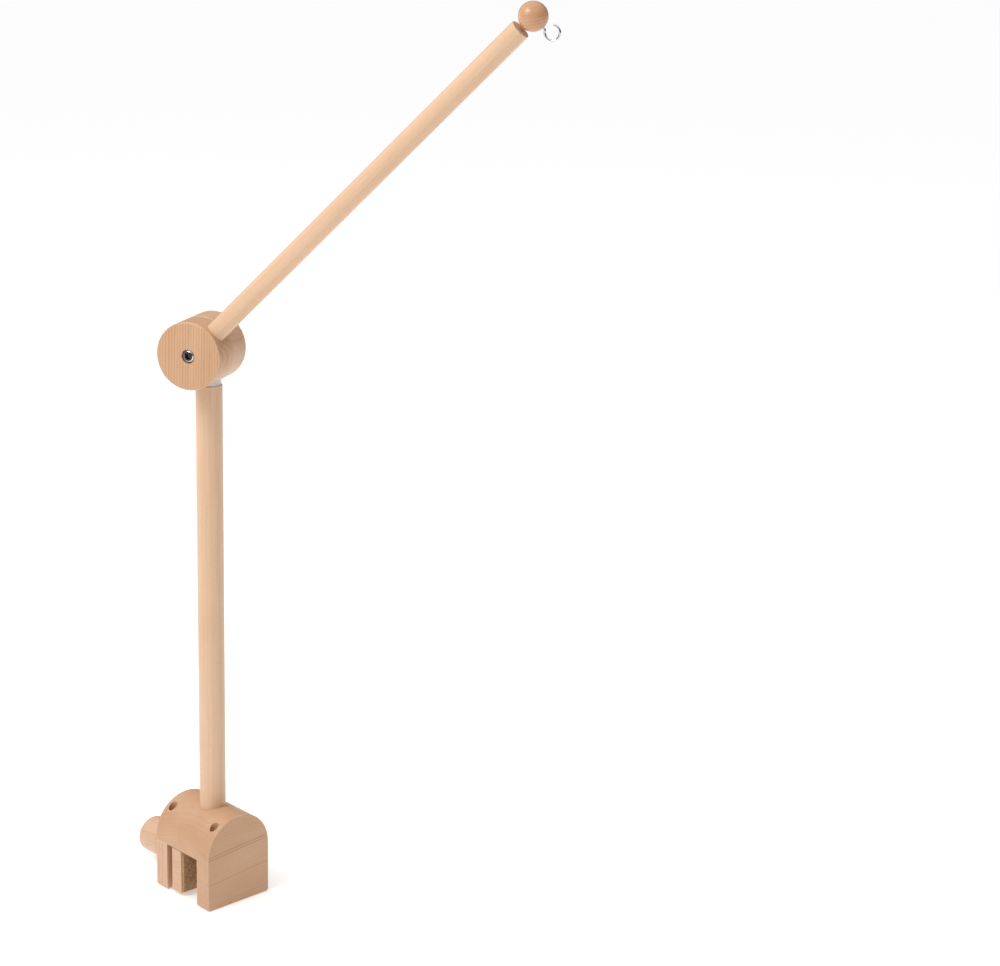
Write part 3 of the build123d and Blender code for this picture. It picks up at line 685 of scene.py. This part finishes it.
def disc_beech(node, tone, rings):
    """Beech for a knuckle disc: upright grain, its rings edge-on in the disc's face."""
    wear_and_highlight = round_wear_and_highlight(knuckle_axis, middle_of(node), KNUCKLE_R, DISC_THICKNESS / 2, width=1.6 * MM)
    pith = tuple(PITH_ASIDE * arm_level)
    return beech("beech_" + node, UP + 0.02 * arm_level, pith, tone, spacing=0.0024, rings=rings,
                 streaks=0.5, waver=0.0016, wear_and_highlight=wear_and_highlight)


dress(nodes["front_disc"], disc_beech("front_disc", FRONT_DISC_TONE, 0.75))
dress(nodes["rear_disc"], disc_beech("rear_disc", REAR_DISC_TONE, 0.35))

CHROME = ((0.74, 0.74, 0.76, 1), (0.66, 0.66, 0.68, 1), 0.05, 0.14, 260.0, 0.00001)
chrome = metal("chrome_plate", *CHROME)
zinc = metal("zinc_plate", (0.66, 0.66, 0.64, 1), (0.50, 0.50, 0.50, 1), 0.22, 0.42, 420.0, 0.00003)
dress(nodes["saddle_washer"], milky_plastic())
dress(nodes["friction_ring"], dark_fibre())
# the bolt's hex socket and crown are painted nearly black: painted shade and painted dark reflection
bolt_turn, bolt_shift = centred_on(knuckle_axis, knuckle_centre)
dress(nodes["knuckle_bolt"],
      metal("chrome_bolt", *CHROME, socket=(bolt_turn, bolt_shift, BOLT_PAINTED_SHADE_R)))
for node in ("bolt_washer", "knuckle_nut", "swivel_stud", "arm_stud", "jaw_screws", "screw_insert",
             "post_screw", "post_insert", "thrust_plate", "thrust_plate_screws", "screw_clip",
             "knob_insert", "knob_pin"):
    dress(nodes[node], zinc)


# ------------------------------------------------------------------ the hook
RING_R = 6.6 * MM
RING_AHEAD, RING_BELOW = 3.0 * MM, 21.0 * MM
NECK_R = 3.0 * MM
ROOT_BELOW = 5.0 * MM
RING_SWEEP = math.radians(262)


def hook_path():
    """Hook's centre line in the arm's plane: a straight stem, an arc of the neck's radius, and an arc
    of the ring's radius that goes on turning the other way; x is ahead of the ball, y below it."""
    reach = RING_R + NECK_R
    drop = math.sqrt(reach ** 2 - (RING_AHEAD + NECK_R) ** 2)
    turn = math.atan2(drop, RING_AHEAD + NECK_R)
    neck_below = RING_BELOW - drop
    stem = np.linspace((0, ROOT_BELOW), (0, neck_below), 12, endpoint=False)
    a = np.linspace(0, turn, 16, endpoint=False)
    neck = np.stack([NECK_R * (np.cos(a) - 1), neck_below + NECK_R * np.sin(a)], axis=-1)
    b = math.pi + turn - np.linspace(0, RING_SWEEP, 72)
    ring = np.stack([RING_AHEAD + RING_R * np.cos(b), RING_BELOW + RING_R * np.sin(b)], axis=-1)
    flat = np.concatenate([stem, neck, ring])
    return ball_centre + flat[:, :1] * arm_run - flat[:, 1:] * arm_top


def round_ended(path, radius, steps=8):
    """Path and radii with a half-round tip added at the far end: radius * cos(t), t to 90 degrees."""
    run = unit(path[-1] - path[-2])
    t = np.linspace(0, math.pi / 2, steps + 1)[1:] * 0.98
    tip = path[-1] + radius * np.sin(t)[:, None] * run
    radii = np.concatenate([np.full(len(path), radius), radius * np.cos(t)])
    return np.concatenate([path, tip]), radii


hook_line, hook_radii = round_ended(hook_path(), WIRE_R)
takes_place(outward(wire("hook_wire", hook_line, knuckle_axis, hook_radii)),
            "tilt_arm", "polished_steel", chrome, "hook")

# ------------------------------------------------------------------ the clamp screw and its knob
knob_low, knob_high = box_of("clamp_knob")
knob_centre = (knob_low + knob_high) / 2
knob_r = (knob_high[2] - knob_low[2]) / 2
knob_length = knob_high[0] - knob_low[0]
screw_low, screw_high = box_of("clamp_screw")
INSERT_R = 6.03 * MM
KNOB_DISH = 0.4 * MM
KNOB_BORE = 14 * MM


def knob_profile():
    """Plain turned knob, rounded at both rims, dished at its back and bored in front."""
    corners = [(KNOB_DISH, 3 * MM, 0), (KNOB_DISH, 12 * MM, 0.9 * MM), (0, 14 * MM, 0.9 * MM),
               (0, knob_r, 3.2 * MM), (knob_length, knob_r, 3.0 * MM), (knob_length, INSERT_R, 0.3 * MM),
               (knob_length - KNOB_BORE, INSERT_R, 0)]
    return spaced(rounded(corners), 3 * MM)


beech_knob = beech("beech_knob", (1, 0.05, 0.1), (0.006, 0.014, 0), KNOB_TONE, spacing=0.0035, rings=0.2,
                   wear_and_highlight=round_wear_and_highlight(ACROSS_RAIL, knob_centre, knob_r, knob_length / 2))
knob_foot = np.array([knob_low[0], knob_centre[1], knob_centre[2]])
takes_place(outward(turned("knob", knob_foot, ACROSS_RAIL, knob_profile())),
            "knob_screw", "beech_turned", beech_knob, "clamp_knob")

THREAD_PITCH = 1.25 * MM
THREAD_DEPTH = 0.62 * MM
SCREW_R = 4.0 * MM
NECK_LENGTH = 7.5 * MM
SCREW_NECK_R = 3.0 * MM
CREST_SHARE, FLANK_SHARE = 0.15, 0.65
POINT = 0.8 * MM


def threaded_rod():
    """Screw with a real thread: radius = crest - depth * ramp(d), where d is the distance along the
    axis to the nearest crest of a helix that climbs one pitch a turn, fading out at both ends."""
    length = screw_high[0] - screw_low[0] - NECK_LENGTH
    along = np.arange(0, length, THREAD_PITCH / 10)
    body = np.stack([along, np.full_like(along, SCREW_R)], axis=-1)
    start = np.array([[0, 1 * MM], [0, SCREW_R - 0.9 * MM]])
    neck = rounded([(length, SCREW_R - 0.7 * MM, 0), (length, SCREW_NECK_R, 0.3 * MM),
                    (length + NECK_LENGTH, SCREW_NECK_R, 0.5 * MM), (length + NECK_LENGTH, 1 * MM, 0)])
    profile = np.concatenate([start, body, neck])

    def thread(along, angle):
        climb = along / THREAD_PITCH - angle / TAU
        from_crest = np.abs(climb - np.round(climb)) * 2
        cut = np.clip((from_crest - CREST_SHARE) / FLANK_SHARE, 0, 1)
        cut = cut * cut * (3 - 2 * cut)
        held = np.clip(along / THREAD_PITCH, 0, 1) * np.clip((length - along) / THREAD_PITCH, 0, 1)
        inside = (profile[:, 1][:, None] >= SCREW_R - 1e-9)
        chamfer = np.clip(1 - along / POINT, 0, 1) * POINT
        return np.where(inside, -np.maximum(THREAD_DEPTH * cut * held, chamfer), 0)

    foot = np.array([screw_low[0], knob_centre[1], knob_centre[2]])
    return outward(turned("threaded_screw", foot, ACROSS_RAIL, profile, segments=64, swell=thread))


takes_place(threaded_rod(), "knob_screw", "zinc_steel", zinc, "clamp_screw")

# ------------------------------------------------------------------ floor, light and camera
FLOOR_GLOW = 0.33


def plain_floor():
    """Large pale floor under the clamp's feet, lit a little from within."""
    size = 40.0
    level = cad_low[2]
    points = np.array([[-size, -size, level], [size, -size, level],
                       [size, size, level], [-size, size, level]])
    floor = mesh_piece("floor", points, [[0, 1, 2, 3]])
    material, tree, shader = new_material("pale_floor")
    shader.inputs["Base Color"].default_value = (0.90, 0.90, 0.90, 1)
    shader.inputs["Roughness"].default_value = 0.9
    shader.inputs["Emission Color"].default_value = (1, 1, 1, 1)
    shader.inputs["Emission Strength"].default_value = FLOOR_GLOW
    dress(floor, material)


def soft_light(name, place, target, size, power, colour=(1, 1, 1)):
    """Square area light aimed at a point."""
    lamp = bpy.data.lights.new(name, "AREA")
    lamp.shape = "SQUARE"
    lamp.size = size
    lamp.energy = power
    lamp.color = colour
    light = bpy.data.objects.new(name, lamp)
    light.location = place
    light.rotation_euler = (Vector(target) - Vector(place)).to_track_quat("-Z", "Y").to_euler()
    bpy.context.scene.collection.objects.link(light)


plain_floor()
aim = (0.10, 0.02, 0.35)
soft_light("key", (-0.15, -1.55, 2.15), aim, 1.1, 30.0, (1.0, 0.995, 0.985))
soft_light("fill", (-1.9, -0.2, 1.3), aim, 1.6, 6.0, (0.97, 0.98, 1.0))


def studio_world():
    """Light from overhead that falls away towards the horizon, and a plain white backdrop behind."""
    world = bpy.data.worlds.new("studio")
    world.use_nodes = True
    tree = world.node_tree
    upward = add(tree, "ShaderNodeTexCoord").outputs["Generated"]
    height = add(tree, "ShaderNodeSeparateXYZ", {0: upward}).outputs[2]
    strength = ramp(tree, height, 0.10, 1.0, 0.02, 1.10)
    seen = add(tree, "ShaderNodeLightPath").outputs["Is Camera Ray"]
    strength = calc(tree, "MAXIMUM", strength, seen)
    tree.nodes["Background"].inputs["Color"].default_value = (1, 1, 1, 1)
    tree.links.new(strength, tree.nodes["Background"].inputs["Strength"])
    bpy.context.scene.world = world


studio_world()
bpy.context.scene.view_settings.view_transform = "Standard"

CAMERA_TARGET = Vector((0.230277, 0.153397, 0.388921))
CAMERA_DISTANCE = 2.1861
CAMERA_AZIMUTH = math.radians(45.628)
CAMERA_PITCH = math.radians(16.277)
CAMERA_ROLL = math.radians(1.48)
CAMERA_LENS = 86.71


def studio_camera():
    """Camera on a line through its target, at an azimuth and pitch, rolled about that line."""
    level = Vector((math.cos(CAMERA_AZIMUTH), math.sin(CAMERA_AZIMUTH), 0))
    ahead = Vector((-math.sin(CAMERA_AZIMUTH) * math.cos(CAMERA_PITCH),
                    math.cos(CAMERA_AZIMUTH) * math.cos(CAMERA_PITCH), -math.sin(CAMERA_PITCH)))
    upward = level.cross(ahead)
    right = level * math.cos(CAMERA_ROLL) + upward * math.sin(CAMERA_ROLL)
    top = upward * math.cos(CAMERA_ROLL) - level * math.sin(CAMERA_ROLL)
    data = bpy.data.cameras.new("camera")
    data.sensor_width = 36.0
    data.lens = CAMERA_LENS
    data.clip_end = 100.0
    camera = bpy.data.objects.new("camera", data)
    turn = Matrix((right, top, -ahead)).transposed().to_4x4()
    camera.matrix_world = Matrix.Translation(CAMERA_TARGET - ahead * CAMERA_DISTANCE) @ turn
    bpy.context.scene.collection.objects.link(camera)
    bpy.context.scene.camera = camera


studio_camera()
